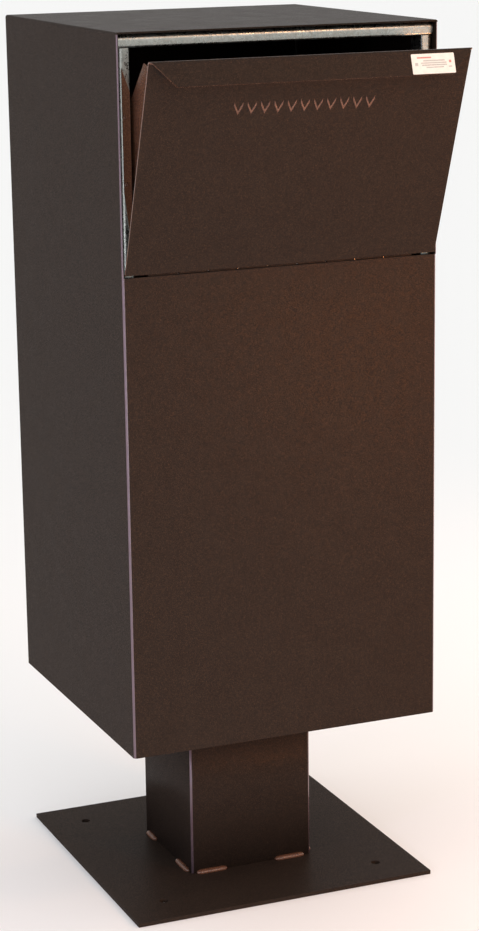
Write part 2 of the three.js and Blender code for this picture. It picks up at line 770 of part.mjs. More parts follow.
// The keyed plug, with a square tail for the cam.
function lockPlug() {
  const face = rearFace + GAP + LOCK_FLANGE - 0.2;
  const profile = [
    [0, camFront + GAP],
    [LOCK_PLUG_RADIUS, camFront + GAP],
    [LOCK_PLUG_RADIUS, face],
    [0, face],
  ];
  const t = LOCK_TAIL_HALF;
  const tail = block([-t, camFront - CAM_THICKNESS, -t], [t, camFront + 2, t]);
  const [w, h, d] = KEYWAY;
  const keyway = block([-w / 2, face - d, -h / 2], [w / 2, face + 1, h / 2]);
  return cutFrom(joined([lathedAlongY(profile, 24), tail]), [keyway]);
}

// The cam hangs down when the door is free, and turns out behind the strike to lock it.
function lockCam() {
  const shape = new THREE.Shape();
  shape.absarc(0, 0, CAM_HALF_WIDTH, 0, Math.PI, false);
  shape.lineTo(-CAM_HALF_WIDTH, -CAM_REACH + 3);
  shape.lineTo(-CAM_HALF_WIDTH + 3, -CAM_REACH);
  shape.lineTo(CAM_HALF_WIDTH - 3, -CAM_REACH);
  shape.lineTo(CAM_HALF_WIDTH, -CAM_REACH + 3);
  const t = LOCK_TAIL_HALF + GAP;
  const square = [
    [-t, -t],
    [-t, t],
    [t, t],
    [t, -t],
  ];
  shape.holes.push(new THREE.Path(square.map(([x, z]) => new THREE.Vector2(x, z))));
  return alongY(shape, camFront - CAM_THICKNESS, camFront, 8);
}

function camScrew() {
  const seat = camFront - CAM_THICKNESS - GAP;
  const profile = [
    [0, seat - 2],
    [3, seat - 2],
    [5, seat - 1.2],
    [5, seat],
    [0, seat],
  ];
  return lathedAlongY(profile, 16);
}

// ---------- fixed pieces at the back ----------

function stopStrip(edge, direction) {
  const overlap = edge - direction * STOP_STRIP_LAP;
  const far = overlap + direction * STOP_STRIP_WIDTH;
  const half = rearDoorHalf - STOP_STRIP_LAP;
  return block(
    [-half, rearInner - GAP - FRAME_SHEET, Math.min(overlap, far)],
    [half, rearInner - GAP, Math.max(overlap, far)],
  );
}

function lockStrike() {
  const x0 = rearDoorHalf + REAR_DOOR_CLEARANCE + 2;
  return block(
    [x0, rearInner - GAP - STRIKE_THICKNESS, lockZ - STRIKE_HEIGHT / 2],
    [x0 + STRIKE_WIDTH, rearInner - GAP, lockZ + STRIKE_HEIGHT / 2],
  );
}

// An inclined sheet that closes the space between the raised tray and the back of the cabinet.
function rearBaffle() {
  const reach = Math.sqrt((trayLength + BAFFLE_CLEARANCE) ** 2 - BAFFLE_EDGE_DROP ** 2);
  const edge = [hopperAxisY + reach, hopperAxisZ - BAFFLE_EDGE_DROP];
  const wall = rearInner - GAP;
  const bend = edge[1] + BAFFLE_RISE;
  const t = BAFFLE_SHEET;
  const shape = outline([
    edge,
    [edge[0] + 1.2 * t, edge[1] - 0.4 * t],
    [wall, bend - 0.8 * t],
    [wall, bend + BAFFLE_FLANGE],
    [wall - t, bend + BAFFLE_FLANGE],
    [wall - t, bend],
  ]);
  const half = sideInner - BAFFLE_SIDE_CLEARANCE;
  return alongX(shape, -half, half);
}

// ---------- assembly ----------

const box = new THREE.Group();

const cabinet = new THREE.Group();
box.add(cabinet);
node(cabinet, "base_plate", basePlate(), bronzeCoat);
node(cabinet, "pedestal_post", pedestalPost(), bronzeCoat);
node(cabinet, "post_top_flange", postTopFlange(), bronzeCoat);
for (const [place, x, y] of boltPlaces) {
  node(cabinet, `flange_bolt_${place}`, flangeBolt(), zincSteel).position.set(x, y, 0);
  node(cabinet, `flange_nut_${place}`, flangeNut(), zincSteel).position.set(x, y, 0);
}
node(cabinet, "left_side_panel", sidePanel(-1), bronzeCoat);
node(cabinet, "right_side_panel", sidePanel(1), bronzeCoat);
node(cabinet, "lower_front_panel", lowerFrontPanel(), bronzeCoat);
node(cabinet, "top_panel", topPanel(), bronzeCoat);
node(cabinet, "bottom_panel", bottomPanel(), bronzeCoat);
node(cabinet, "back_panel", backPanel(), bronzeCoat);
node(cabinet, "opening_head_channel", openingHead(), galvanised);
for (const [name, side] of [
  ["left", -1],
  ["right", 1],
]) {
  node(cabinet, `${name}_jamb_channel`, openingJamb(side), galvanised);
  node(cabinet, `${name}_jamb_guard`, jambGuard(side), bronzeCoat);
  SCREW_DROPS.forEach((drop, i) => {
    const place = i === 0 ? "upper" : "lower";
    node(cabinet, `${name}_guard_screw_${place}`, guardScrew(side, drop), bronzeCoat);
  });
}
node(cabinet, "hopper_sill_angle", sillAngle(), galvanised);
node(cabinet, "rear_baffle", rearBaffle(), bronzeCoat);
node(cabinet, "rear_stop_strip_upper", stopStrip(rearDoorHigh, 1), bronzeCoat);
node(cabinet, "rear_stop_strip_lower", stopStrip(rearDoorLow, -1), bronzeCoat);
node(cabinet, "lock_strike", lockStrike(), zincSteel);

const fixedHopperHinge = new THREE.Group();
fixedHopperHinge.position.set(0, hopperAxisY, hopperAxisZ);
cabinet.add(fixedHopperHinge);
const hopperLeafFace = doorBack + GAP;
const hopperFixedLeaf = hingeLeaf(hopperHingeLength, HOPPER_KNUCKLES, 0, false, hopperLeafFace);
node(fixedHopperHinge, "hopper_hinge_fixed_leaf", hopperFixedLeaf, bronzeCoat);
node(fixedHopperHinge, "hopper_hinge_pin", hingePin(hopperHingeLength - 2), brightSteel);

const hopper = new THREE.Group();
hopper.position.copy(fixedHopperHinge.position);
hopper.rotation.x = radians(OPEN_ANGLE);
box.add(hopper);
node(hopper, "hopper_door_panel", hopperDoorPanel(), bronzeCoat);
node(hopper, "lip_label", lipLabel(), whiteFilm);
node(hopper, "hopper_tray", hopperTray(), bronzeCoat);
node(hopper, "tray_rib", trayRib(), bronzeCoat);
const hopperMovingLeaf = hingeLeaf(hopperHingeLength, HOPPER_KNUCKLES, 1, true, hopperLeafFace);
node(hopper, "hopper_hinge_moving_leaf", hopperMovingLeaf, bronzeCoat);
for (const [name, side] of [
  ["left", -1],
  ["right", 1],
]) {
  node(hopper, `${name}_wing`, hopperWing(side), bronzeCoat);
  node(hopper, `${name}_stop_tab`, stopTab(side), bronzeCoat);
  node(hopper, `${name}_door_bumper`, doorBumper(side), blackRubber);
}

// The rear hinge's leaves are made lying along X, then stood up on the doorway's left edge.
function standUp(geometry) {
  return turned(geometry, [0, 0, -1], [0, 1, 0], [1, 0, 0]).translate(0, 0, lockZ);
}

const rearHingeLength = rearDoorHigh - rearDoorLow - 2 * REAR_HINGE_INSET;
const rearLeafFace = rearFace + GAP - rearAxisY;
const fixedRearHinge = new THREE.Group();
fixedRearHinge.position.set(rearAxisX, rearAxisY, 0);
cabinet.add(fixedRearHinge);
const rearFixedLeaf = standUp(hingeLeaf(rearHingeLength, REAR_KNUCKLES, 0, false, rearLeafFace));
node(fixedRearHinge, "rear_hinge_fixed_leaf", rearFixedLeaf, zincSteel);
node(fixedRearHinge, "rear_hinge_pin", standUp(hingePin(rearHingeLength - 2)), brightSteel);

const rearDoor = new THREE.Group();
rearDoor.position.copy(fixedRearHinge.position);
box.add(rearDoor);
node(rearDoor, "rear_door_panel", rearDoorPanel(), bronzeCoat);
node(rearDoor, "rear_door_stiffener", rearDoorStiffener(), bronzeCoat);
const rearMovingLeaf = standUp(hingeLeaf(rearHingeLength, REAR_KNUCKLES, 1, true, rearLeafFace));
node(rearDoor, "rear_hinge_moving_leaf", rearMovingLeaf, zincSteel);

const lock = new THREE.Group();
lock.position.set(lockX - rearAxisX, -rearAxisY, lockZ);
rearDoor.add(lock);
node(lock, "lock_body", lockBody(), brightSteel);
node(lock, "lock_nut", lockNut(), zincSteel);
node(lock, "lock_plug", lockPlug(), brightSteel);
node(lock, "lock_cam", lockCam(), zincSteel);
node(lock, "cam_screw", camScrew(), zincSteel);

export default box;
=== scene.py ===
"""The finished look of a pedestal parcel drop box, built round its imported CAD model.

Metres, +Z up, the front towards -Y, the origin in the middle of the base plate's underside.
"""

import json
import math

import bmesh
import bpy
from mathutils import Matrix, Vector


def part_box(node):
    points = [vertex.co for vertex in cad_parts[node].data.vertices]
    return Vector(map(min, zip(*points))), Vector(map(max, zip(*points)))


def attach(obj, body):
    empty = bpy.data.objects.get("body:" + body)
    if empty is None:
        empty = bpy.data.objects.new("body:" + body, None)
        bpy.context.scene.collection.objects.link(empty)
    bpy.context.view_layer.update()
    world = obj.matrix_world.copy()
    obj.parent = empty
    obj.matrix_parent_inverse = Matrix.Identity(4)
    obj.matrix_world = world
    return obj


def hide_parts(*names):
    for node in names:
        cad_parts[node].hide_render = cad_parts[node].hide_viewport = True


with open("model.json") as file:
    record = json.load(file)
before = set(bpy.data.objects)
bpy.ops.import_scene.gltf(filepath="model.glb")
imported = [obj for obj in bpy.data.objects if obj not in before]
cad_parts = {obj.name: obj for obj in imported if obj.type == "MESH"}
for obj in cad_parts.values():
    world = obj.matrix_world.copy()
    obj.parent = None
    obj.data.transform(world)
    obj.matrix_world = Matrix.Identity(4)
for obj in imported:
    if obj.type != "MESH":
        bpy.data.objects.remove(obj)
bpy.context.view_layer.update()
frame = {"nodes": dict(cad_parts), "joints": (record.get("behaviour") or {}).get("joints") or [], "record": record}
MM = 0.001

# ---------- camera ----------
# It stands to the left of the front, a little above the roof, and looks down at the whole box
# through a long lens.

LENS = 95.59
SENSOR = 36
TURN = -22.635
TILT = -13.639
ROLL = 0.817
camera_place = Vector((-1093.6, -2680.2, 1190.2)) * MM
turn = Matrix.Rotation(math.radians(TURN), 4, "Z")
tilt = Matrix.Rotation(math.radians(TILT), 4, "X")
roll = Matrix.Rotation(math.radians(ROLL), 4, "Y")
look_ahead = Matrix.Rotation(math.radians(90), 4, "X")

camera = bpy.data.objects.new("camera", bpy.data.cameras.new("camera"))
camera.data.lens = LENS
camera.data.sensor_width = SENSOR
camera.matrix_world = Matrix.Translation(camera_place) @ turn @ tilt @ roll @ look_ahead
bpy.context.scene.collection.objects.link(camera)
bpy.context.scene.camera = camera

# ---------- folded shell ----------
# The sides, the roof and the lower front are folded from 2 mm steel sheet and welded into one
# shell, then powder coated dark bronze with copper flake. Its corners are soft folds, tighter along
# the roof and beside the hopper's opening. The crests of the upright folds carry a painted highlight.

body_of_node = {
    node: body for body, nodes in frame["record"]["behaviour"]["bodies"].items() for node in nodes
}


def linear(hex_colour):
    """A linear RGBA colour from an sRGB hex value such as "#3e2e26"."""
    values = [int(hex_colour[i : i + 2], 16) / 255 for i in (1, 3, 5)]
    return [v / 12.92 if v <= 0.04045 else ((v + 0.055) / 1.055) ** 2.4 for v in values] + [1]


def new_material(name):
    """A new material, with its node tree and its Principled shader."""
    material = bpy.data.materials.new(name)
    material.use_nodes = True
    return material, material.node_tree, material.node_tree.nodes["Principled BSDF"]


def set_inputs(tree, node, inputs):
    """The node's inputs, each a plain value or another node's socket."""
    for name, value in inputs.items():
        if isinstance(value, bpy.types.NodeSocket):
            tree.links.new(value, node.inputs[name])
        else:
            node.inputs[name].default_value = value


def add_node(tree, kind, settings, inputs):
    """A shader node, with its own settings and its inputs."""
    node = tree.nodes.new("ShaderNode" + kind)
    for name, value in settings.items():
        setattr(node, name, value)
    set_inputs(tree, node, inputs)
    return node


# Bronze powder coat, sprayed and baked: a satin dark brown film with a fine orange peel, blotched
# a little by its thickness, in which scattered copper flakes glint. The flakes are drawn 0.4 mm
# wide, coarser than the real 0.1 mm ones, so that they show at all. Only the flakes are metal; the
# matting agent in the film leaves it little gloss.
BLOTCH = 22 * MM
FLAKE = 0.4 * MM
PEEL = 1.3 * MM


def bronze_powder_coat(name, dark, light, copper, roughness, film_gloss):
    """The coat with its two film colours, its flakes' colour, its roughness and its film's gloss."""
    material, tree, shader = new_material(name)
    place = add_node(tree, "TexCoord", {}, {}).outputs["Object"]
    blotch = add_node(
        tree, "TexNoise", {}, {"Vector": place, "Scale": 1 / BLOTCH, "Detail": 4.0}
    )
    film = add_node(
        tree,
        "Mix",
        {"data_type": "RGBA"},
        {0: blotch.outputs["Fac"], 6: linear(dark), 7: linear(light)},
    )
    flake = add_node(tree, "TexVoronoi", {}, {"Vector": place, "Scale": 1 / FLAKE})
    level = add_node(tree, "SeparateColor", {}, {"Color": flake.outputs["Color"]})
    glint = add_node(
        tree,
        "MapRange",
        {"interpolation_type": "SMOOTHSTEP"},
        {"Value": level.outputs["Red"], "From Min": 0.6, "From Max": 1.0, "To Max": 0.34},
    )
    colour = add_node(
        tree,
        "Mix",
        {"data_type": "RGBA"},
        {0: glint.outputs["Result"], 6: film.outputs[2], 7: linear(copper)},
    )
    gloss = add_node(
        tree,
        "MapRange",
        {},
        {
            "Value": blotch.outputs["Fac"],
            "From Min": 0.3,
            "From Max": 0.7,
            "To Min": roughness - 0.02,
            "To Max": roughness + 0.03,
        },
    )
    peel = add_node(
        tree, "TexNoise", {}, {"Vector": place, "Scale": 1 / PEEL, "Detail": 2.0}
    )
    relief = add_node(
        tree,
        "Bump",
        {},
        {"Height": peel.outputs["Fac"], "Strength": 0.22, "Distance": 0.25 * MM},
    )
    set_inputs(
        tree,
        shader,
        {
            "Base Color": colour.outputs[2],
            "Metallic": glint.outputs["Result"],
            "Roughness": gloss.outputs["Result"],
            "Normal": relief.outputs["Normal"],
            "Specular IOR Level": film_gloss,
        },
    )
    return material


# On the flats the film has its full thickness, and hides most of the flakes' copper.
coat = bronze_powder_coat("bronze_powder_coat", "#26201d", "#2c2622", "#6a513e", 0.4, 0.008)
# Painted highlight on an upright fold's crest: a pale greyed film colour, with real extra gloss.
crest_highlight_coat = bronze_powder_coat("powder_coat_painted_highlight_on_crests", "#57484e", "#6c5b62", "#9a7a70", 0.22, 0.5)


def make_piece(name, shape, *materials):
    """A piece from a bmesh, smooth-shaded, with its materials."""
    bmesh.ops.recalc_face_normals(shape, faces=shape.faces)
    mesh = bpy.data.meshes.new(name)
    shape.to_mesh(mesh)
    shape.free()
    for face in mesh.polygons:
        face.use_smooth = True
    piece = bpy.data.objects.new(name, mesh)
    for material in materials:
        piece.data.materials.append(material)
    bpy.context.scene.collection.objects.link(piece)
    return piece


def soften(piece, radius, segments=3, angle=35):
    """Rounds the edges sharper than the angle, and keeps the flats flat."""
    edge = piece.modifiers.new("soft_edges", "BEVEL")
    edge.width = radius
    edge.segments = segments
    edge.limit_method = "ANGLE"
    edge.angle_limit = math.radians(angle)
    flats = piece.modifiers.new("flat_faces", "WEIGHTED_NORMAL")
    flats.weight = 100


def thicken(piece, thickness):
    """Gives a surface its sheet thickness, on the inner side."""
    sheet = piece.modifiers.new("sheet", "SOLIDIFY")
    sheet.thickness = thickness
    sheet.offset = -1
    sheet.use_even_offset = True


def fix(piece, *nodes):
    """The piece takes the body of the CAD nodes that it stands for, and hides them."""
    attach(piece, body_of_node[nodes[0]])
    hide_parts(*nodes)


def arc(centre, radius, start, end, steps=8):
    """Points on an arc, angles in degrees, both ends included."""
    angles = [math.radians(start + (end - start) * i / steps) for i in range(steps + 1)]
    return [(centre[0] + radius * math.cos(a), centre[1] + radius * math.sin(a)) for a in angles]


MERGE = 0.01 * MM  # points closer than this are one


def add_face(shape, corners):
    """A face with corners of its own."""
    return shape.faces.new([shape.verts.new(corner) for corner in corners])


def add_strip(shape, edge_a, edge_b, highlight_share=0.0):
    """Quads between two lists of points. The middle share of them takes a fold's painted highlight."""
    count = len(edge_a) - 1
    for i in range(count):
        face = add_face(shape, [edge_a[i], edge_a[i + 1], edge_b[i + 1], edge_b[i]])
        if abs((i + 0.5) / count - 0.5) < highlight_share / 2:
            face.material_index = PAINTED_HIGHLIGHT_SLOT


SHEET = 2 * MM
FRONT_FOLD = 4 * MM
ROOF_FOLD = 2.4 * MM
NOSE_FOLD = 2.2 * MM
FRONT_HIGHLIGHT_SHARE = 0.5  # the share of the fold, round its crest, that carries the painted highlight
NOSE_HIGHLIGHT_SHARE = 0.7
PAINTED_HIGHLIGHT_SLOT = 1  # the painted highlight's place among a folded piece's materials

front_low, front_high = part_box("lower_front_panel")
roof_low, roof_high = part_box("top_panel")
half = roof_high.x
front, rear = roof_low.y, roof_high.y
foot, sill, roof = front_low.z, front_high.z, roof_high.z

shape = bmesh.new()
fold_start = front + FRONT_FOLD
eaves = roof - ROOF_FOLD
for side in (-1, 1):
    side_edge = [
        (rear, foot),
        (fold_start, foot),
        (fold_start, sill),
        (front + NOSE_FOLD, sill),
        (front + NOSE_FOLD, eaves),
        (rear, eaves),
    ]
    add_face(shape, [(side * half, y, z) for y, z in side_edge])
    fold = arc((half - FRONT_FOLD, fold_start), FRONT_FOLD, 0, -90)
    add_strip(
        shape,
        [(side * x, y, foot) for x, y in fold],
        [(side * x, y, sill) for x, y in fold],
        FRONT_HIGHLIGHT_SHARE,
    )
    nose = arc((half - NOSE_FOLD, front + NOSE_FOLD), NOSE_FOLD, 0, -90, 6)
    add_strip(
        shape,
        [(side * x, y, sill) for x, y in nose],
        [(side * x, y, eaves) for x, y in nose],
        NOSE_HIGHLIGHT_SHARE,
    )
    bend = arc((half - ROOF_FOLD, eaves), ROOF_FOLD, 0, 90, 6)
    add_strip(
        shape,
        [(side * x, front, z) for x, z in bend],
        [(side * x, rear, z) for x, z in bend],
    )
flat = half - FRONT_FOLD
add_face(shape, [(-flat, front, foot), (flat, front, foot), (flat, front, sill), (-flat, front, sill)])
flat = half - ROOF_FOLD
add_face(shape, [(-flat, front, roof), (flat, front, roof), (flat, rear, roof), (-flat, rear, roof)])
bmesh.ops.remove_doubles(shape, verts=shape.verts, dist=MERGE)
shell = make_piece("folded_shell", shape, coat, crest_highlight_coat)
thicken(shell, SHEET)
soften(shell, 0.5 * MM, segments=2, angle=60)
fix(shell, "left_side_panel", "right_side_panel", "lower_front_panel", "top_panel")


# ---------- plain sheet and bar pieces ----------
# The back and bottom sheets, strips, baffle, tray, wings and brackets are cut and folded from
# sheet, and the bolts, nuts and lock parts are turned or pressed. All have their burrs taken off,
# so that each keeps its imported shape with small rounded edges.


def refine(node, material, radius, segments=2, angle=35):
    """Stands for a CAD node: the same solid, with its flats joined up and its edges rounded."""
    shape = bmesh.new()
    shape.from_mesh(frame["nodes"][node].data)
    bmesh.ops.remove_doubles(shape, verts=shape.verts, dist=0.002 * MM)
    bmesh.ops.dissolve_limit(
        shape, angle_limit=math.radians(0.5), verts=shape.verts, edges=shape.edges
    )
    piece = make_piece(node + "_finished", shape, material)
    soften(piece, radius, segments, angle)
    fix(piece, node)
    return piece


SHEET_EDGE = 0.35 * MM
for node in (
    "back_panel",
    "bottom_panel",
    "rear_baffle",
    "rear_stop_strip_upper",
    "rear_stop_strip_lower",
    "left_stop_tab",
    "right_stop_tab",
    "tray_rib",
    "hopper_tray",
    "rear_door_stiffener",
    "rear_door_panel",
):
    refine(node, coat, SHEET_EDGE)

# ---------- pedestal ----------
# A square steel tube with rolled corners stands on a base plate with four anchor holes, stitch
# welded round its foot, and carries the cabinet on a flange with zinc-plated bolts and nuts.

refine("base_plate", coat, 0.8 * MM, segments=3)
refine("post_top_flange", coat, 0.6 * MM)

POST_CORNER = 5 * MM
POST_WALL = 3.2 * MM
# The middle of each rolled corner takes the painted highlight.
POST_HIGHLIGHT_SHARE = 0.4
post_low, post_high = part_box("pedestal_post")
corner = post_high.x - POST_CORNER
shape = bmesh.new()
for sign_x, sign_y, start in ((1, 1, 0), (-1, 1, 90), (-1, -1, 180), (1, -1, 270)):
    rolled = arc((sign_x * corner, sign_y * corner), POST_CORNER, start, start + 90, 10)
    add_strip(
        shape,
        [(x, y, post_low.z) for x, y in rolled],
        [(x, y, post_high.z) for x, y in rolled],
        POST_HIGHLIGHT_SHARE,
    )
    # The flat runs on from the corner's end to the next corner, a quarter turn round.
    x, y = rolled[-1]
    wall = [(x, y), (-rolled[0][1], rolled[0][0])]
    add_strip(
        shape,
        [(x, y, post_low.z) for x, y in wall],
        [(x, y, post_high.z) for x, y in wall],
    )
bmesh.ops.remove_doubles(shape, verts=shape.verts, dist=MERGE)
post = make_piece("square_post", shape, coat, crest_highlight_coat)
thicken(post, POST_WALL)
fix(post, "pedestal_post")

# Welds, cut edges, marks and inner pieces take a lighter, redder coat with real extra gloss. Its
# lighter colour is painted light: painted highlights on edges and welds, painted light in the shade.
painted_light_coat = bronze_powder_coat("powder_coat_with_painted_light", "#42291f", "#5c3b2d", "#d09a70", 0.24, 0.5)

BEAD_RADIUS = 3.2 * MM
BEAD_SPREAD = 1.25  # how much wider than high the bead lies
BEAD_RIPPLE = 2.6 * MM
RIPPLE_SWELL = 0.16
RINGS_PER_RIPPLE = 6
BEAD_SIDES = 12
BEAD_OUT = 0.8 * MM  # how far its middle lies out of the corner, both sideways and up
# Where the beads run, in millimetres from the middle of the front and of the left face. The rear
# and the right face repeat them.
FRONT_BEADS = [(-73, -33), (30, 69)]
LEFT_BEADS = [(-71, -32), (39, 67)]


def join_rings(shape, rings):
    """Quads between each closed ring of points and the next."""
    for a, b in zip(rings, rings[1:]):
        for j in range(len(a)):
            k = (j + 1) % len(a)
            shape.faces.new([a[j], a[k], b[k], b[j]])


def weld_bead(shape, start, end, outward):
    """A rippled bead between two points of the corner, leaning out of the post's face."""
    length = (end - start).length
    along = (end - start) / length
    up = Vector((0, 0, 1))
    count = int(length / BEAD_RIPPLE) * RINGS_PER_RIPPLE
    rings = []
    for i in range(count + 1):
        share = i / count
        # The bead keeps its width for most of its length and closes in round ends.
        ends = max(0.02, 1 - abs(2 * share - 1) ** 6) ** 0.5
        ripple = 1 + RIPPLE_SWELL * abs(math.sin(math.pi * share * length / BEAD_RIPPLE))
        radius = BEAD_RADIUS * ends * ripple
        centre = start + along * (share * length) + (outward + up) * BEAD_OUT
        ring = []
        for j in range(BEAD_SIDES):
            angle = 2 * math.pi * j / BEAD_SIDES
            sideways = outward * (BEAD_SPREAD * radius * math.cos(angle))
            ring.append(shape.verts.new(centre + (sideways + up * (radius * math.sin(angle)))))
        rings.append(ring)
    join_rings(shape, rings)
    shape.faces.new(rings[0])
    shape.faces.new(rings[-1])


shape = bmesh.new()
reach = post_high.x
for side in (-1, 1):
    for a, b in FRONT_BEADS:
        start = Vector((a * MM, side * reach, post_low.z))
        end = Vector((b * MM, side * reach, post_low.z))
        weld_bead(shape, start, end, Vector((0, side, 0)))
    for a, b in LEFT_BEADS:
        start = Vector((side * reach, a * MM, post_low.z))
        end = Vector((side * reach, b * MM, post_low.z))
        weld_bead(shape, start, end, Vector((side, 0, 0)))
# The beads take the lighter coat: their redder colour is partly their own, partly painted highlight.
welds = make_piece("post_foot_welds", shape, painted_light_coat)
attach(welds, "cabinet")

# Zinc plating on pressed and cold-headed steel: a satin grey metal with soft cloudy patches.
zinc, tree, shader = new_material("zinc_plated_steel")
place = add_node(tree, "TexCoord", {}, {}).outputs["Object"]
cloud = add_node(tree, "TexNoise", {}, {"Vector": place, "Scale": 1 / (6 * MM), "Detail": 5.0})
tone = add_node(
    tree,
    "Mix",
    {"data_type": "RGBA"},
    {0: cloud.outputs["Fac"], 6: linear("#8f8f8c"), 7: linear("#b9b9b2")},
)
gloss = add_node(
    tree, "MapRange", {}, {"Value": cloud.outputs["Fac"], "To Min": 0.22, "To Max": 0.5}
)
set_inputs(
    tree,
    shader,
    {
        "Base Color": tone.outputs[2],
        "Metallic": 1.0,
        "Roughness": gloss.outputs["Result"],
    },
)

for place_name in ("front_left", "front_right", "rear_left", "rear_right"):
    refine("flange_bolt_" + place_name, zinc, 0.5 * MM)
    refine("flange_nut_" + place_name, zinc, 0.5 * MM)

# ---------- galvanised opening frame ----------
# Three lengths of roll-formed galvanised sheet line the hopper's opening: a wide bend outside, a
# tight one towards the opening. The hot-dip zinc shows a fine spangle and is a little uneven.

galvanised, tree, shader = new_material("galvanised_sheet")
place = add_node(tree, "TexCoord", {}, {}).outputs["Object"]
wander = add_node(tree, "TexNoise", {}, {"Vector": place, "Scale": 1 / (9 * MM)})
bent = add_node(
    tree,
    "Mix",
    {"data_type": "VECTOR"},
    {0: 0.02, 4: place, 5: wander.outputs["Color"]},
)
spangle = add_node(
    tree, "TexVoronoi", {}, {"Vector": bent.outputs[1], "Scale": 1 / (2.5 * MM)}
)
grain = add_node(tree, "SeparateColor", {}, {"Color": spangle.outputs["Color"]})
tone = add_node(
    tree,
    "Mix",
    {"data_type": "RGBA"},
    {0: grain.outputs["Red"], 6: linear("#a3a6a0"), 7: linear("#b9bbb5")},
)
gloss = add_node(
    tree, "MapRange", {}, {"Value": grain.outputs["Green"], "To Min": 0.24, "To Max": 0.46}
)
unevenness = add_node(
    tree, "TexNoise", {}, {"Vector": place, "Scale": 1 / (2.5 * MM), "Detail": 3.0}
)
relief = add_node(
    tree,
    "Bump",
    {},
    {"Height": unevenness.outputs["Fac"], "Strength": 0.04, "Distance": 0.15 * MM},
)
set_inputs(
    tree,
    shader,
    {
        "Base Color": tone.outputs[2],
        "Metallic": 1.0,
        "Roughness": gloss.outputs["Result"],
        "Normal": relief.outputs["Normal"],
    },
)

refine("hopper_sill_angle", galvanised, 0.4 * MM, segments=3, angle=30)

FRAME_SHEET = 1.5 * MM
OUTER_ROLL = 7 * MM
INNER_ROLL = 2.2 * MM


def frame_length(node, edge_a, edge_b):
    """One length of the frame, between the outer surfaces of its two ends."""
    shape = bmesh.new()
    add_strip(shape, edge_a, edge_b)
    bmesh.ops.remove_doubles(shape, verts=shape.verts, dist=MERGE)
    piece = make_piece(node + "_rolled", shape, galvanised)
    # The outer surface faces the front, so that the sheet's thickness goes behind it.
    if sum(face.normal.y * face.area for face in piece.data.polygons) > 0:
        piece.data.flip_normals()
    thicken(piece, FRAME_SHEET)
    soften(piece, 0.3 * MM, segments=2, angle=60)
    fix(piece, node)


# The head hangs from the roof. Its face starts in a wide bend and ends in a tight one.
low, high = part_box("opening_head_channel")
rolled = arc((low.y + OUTER_ROLL, high.z - OUTER_ROLL), OUTER_ROLL, 90, 180)
rolled += arc((low.y + INNER_ROLL, low.z + INNER_ROLL), INNER_ROLL, 180, 270)
rolled.append((high.y, low.z))
frame_length(
    "opening_head_channel",
    [(high.x, y, z) for y, z in rolled],
    [(low.x, y, z) for y, z in rolled],
)
# Each jamb has its tight bend towards the opening.
for side, name in ((-1, "left"), (1, "right")):
    low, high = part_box(name + "_jamb_channel")
    inner = min(abs(low.x), abs(high.x))
    outer = max(abs(low.x), abs(high.x))
    rolled = arc((outer - OUTER_ROLL, low.y + OUTER_ROLL), OUTER_ROLL, 0, -90)
    rolled += arc((inner + INNER_ROLL, low.y + INNER_ROLL), INNER_ROLL, 270, 180)
    rolled.append((inner, high.y))
    ends = [[(side * x, y, z) for x, y in rolled] for z in (low.z, high.z)]
    frame_length(name + "_jamb_channel", *(ends if side > 0 else ends[::-1]))

# ---------- jamb guards and their screws ----------
# A painted steel strip covers each jamb behind the door's edge, cut on a slant at its top. Two
# cross-recessed pan-head screws, painted over, hold it to the jamb. Strip and screws take the
# lighter coat: painted light, lifting them out of the door's shade.

for node in ("left_jamb_guard", "right_jamb_guard"):
    refine(node, painted_light_coat, 0.3 * MM)

HEAD_HEIGHT = 1.4 * MM
# The dome from its rim to its flat top: share of the radius, share of the height.
HEAD_DOME = [(1.0, 0.0), (1.0, 0.35), (0.93, 0.62), (0.78, 0.86), (0.55, 1.0)]
HEAD_SIDES = 32
RECESS_ARM = 0.5 * MM
RECESS_REACH = 1.6 * MM
RECESS_DEPTH = 1.0 * MM
RECESS_TAPER = 0.7


def pan_head_screw(node):
    """A domed head with a cross recess, on the node's place; it faces the front."""
    low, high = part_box(node)
    centre = (low + high) / 2
    radius = (high.x - low.x) / 2
    shape = bmesh.new()
    rings = []
    for share, height in HEAD_DOME:
        ring = []
        for i in range(HEAD_SIDES):
            angle = 2 * math.pi * (i + 0.5) / HEAD_SIDES
            x = centre.x + share * radius * math.cos(angle)
            z = centre.z + share * radius * math.sin(angle)
            ring.append(shape.verts.new((x, low.y + HEAD_HEIGHT * (1 - height), z)))
        rings.append(ring)
    join_rings(shape, rings)
    arm, reach = RECESS_ARM, RECESS_REACH
    quarter = [(reach * 0.5, arm), (arm, arm), (arm, reach * 0.5)]
    cross = []
    for i in range(4):
        spin = Matrix.Rotation(math.pi / 2 * i, 2)
        cross += [spin @ Vector(p) for p in quarter]
    top = [shape.verts.new((centre.x + p.x, low.y, centre.z + p.y)) for p in cross]
    bed = []
    for p in cross:
        x = centre.x + RECESS_TAPER * p.x
        z = centre.z + RECESS_TAPER * p.y
        bed.append(shape.verts.new((x, low.y + RECESS_DEPTH, z)))
    join_rings(shape, [top, bed])
    shape.faces.new(bed)
    loops = []
    for ring in (rings[-1], top):
        loops += [shape.edges.get(pair) for pair in zip(ring, ring[1:] + ring[:1])]
    bmesh.ops.bridge_loops(shape, edges=loops)
    shape.faces.new(rings[0])
    piece = make_piece(node + "_finished", shape, painted_light_coat)
    soften(piece, 0.08 * MM, segments=1, angle=50)
    fix(piece, node)


for side in ("left", "right"):
    for height in ("upper", "lower"):
        pan_head_screw(f"{side}_guard_screw_{height}")

# ---------- hopper door ----------
# The door is one 2 mm sheet, folded over at the top into a pull lip that points forwards and down,
# with mitred ends. Powder coated like the shell; the crest of the lip's fold and the cut edges carry
# a painted highlight. It hangs on a piano hinge along its foot.

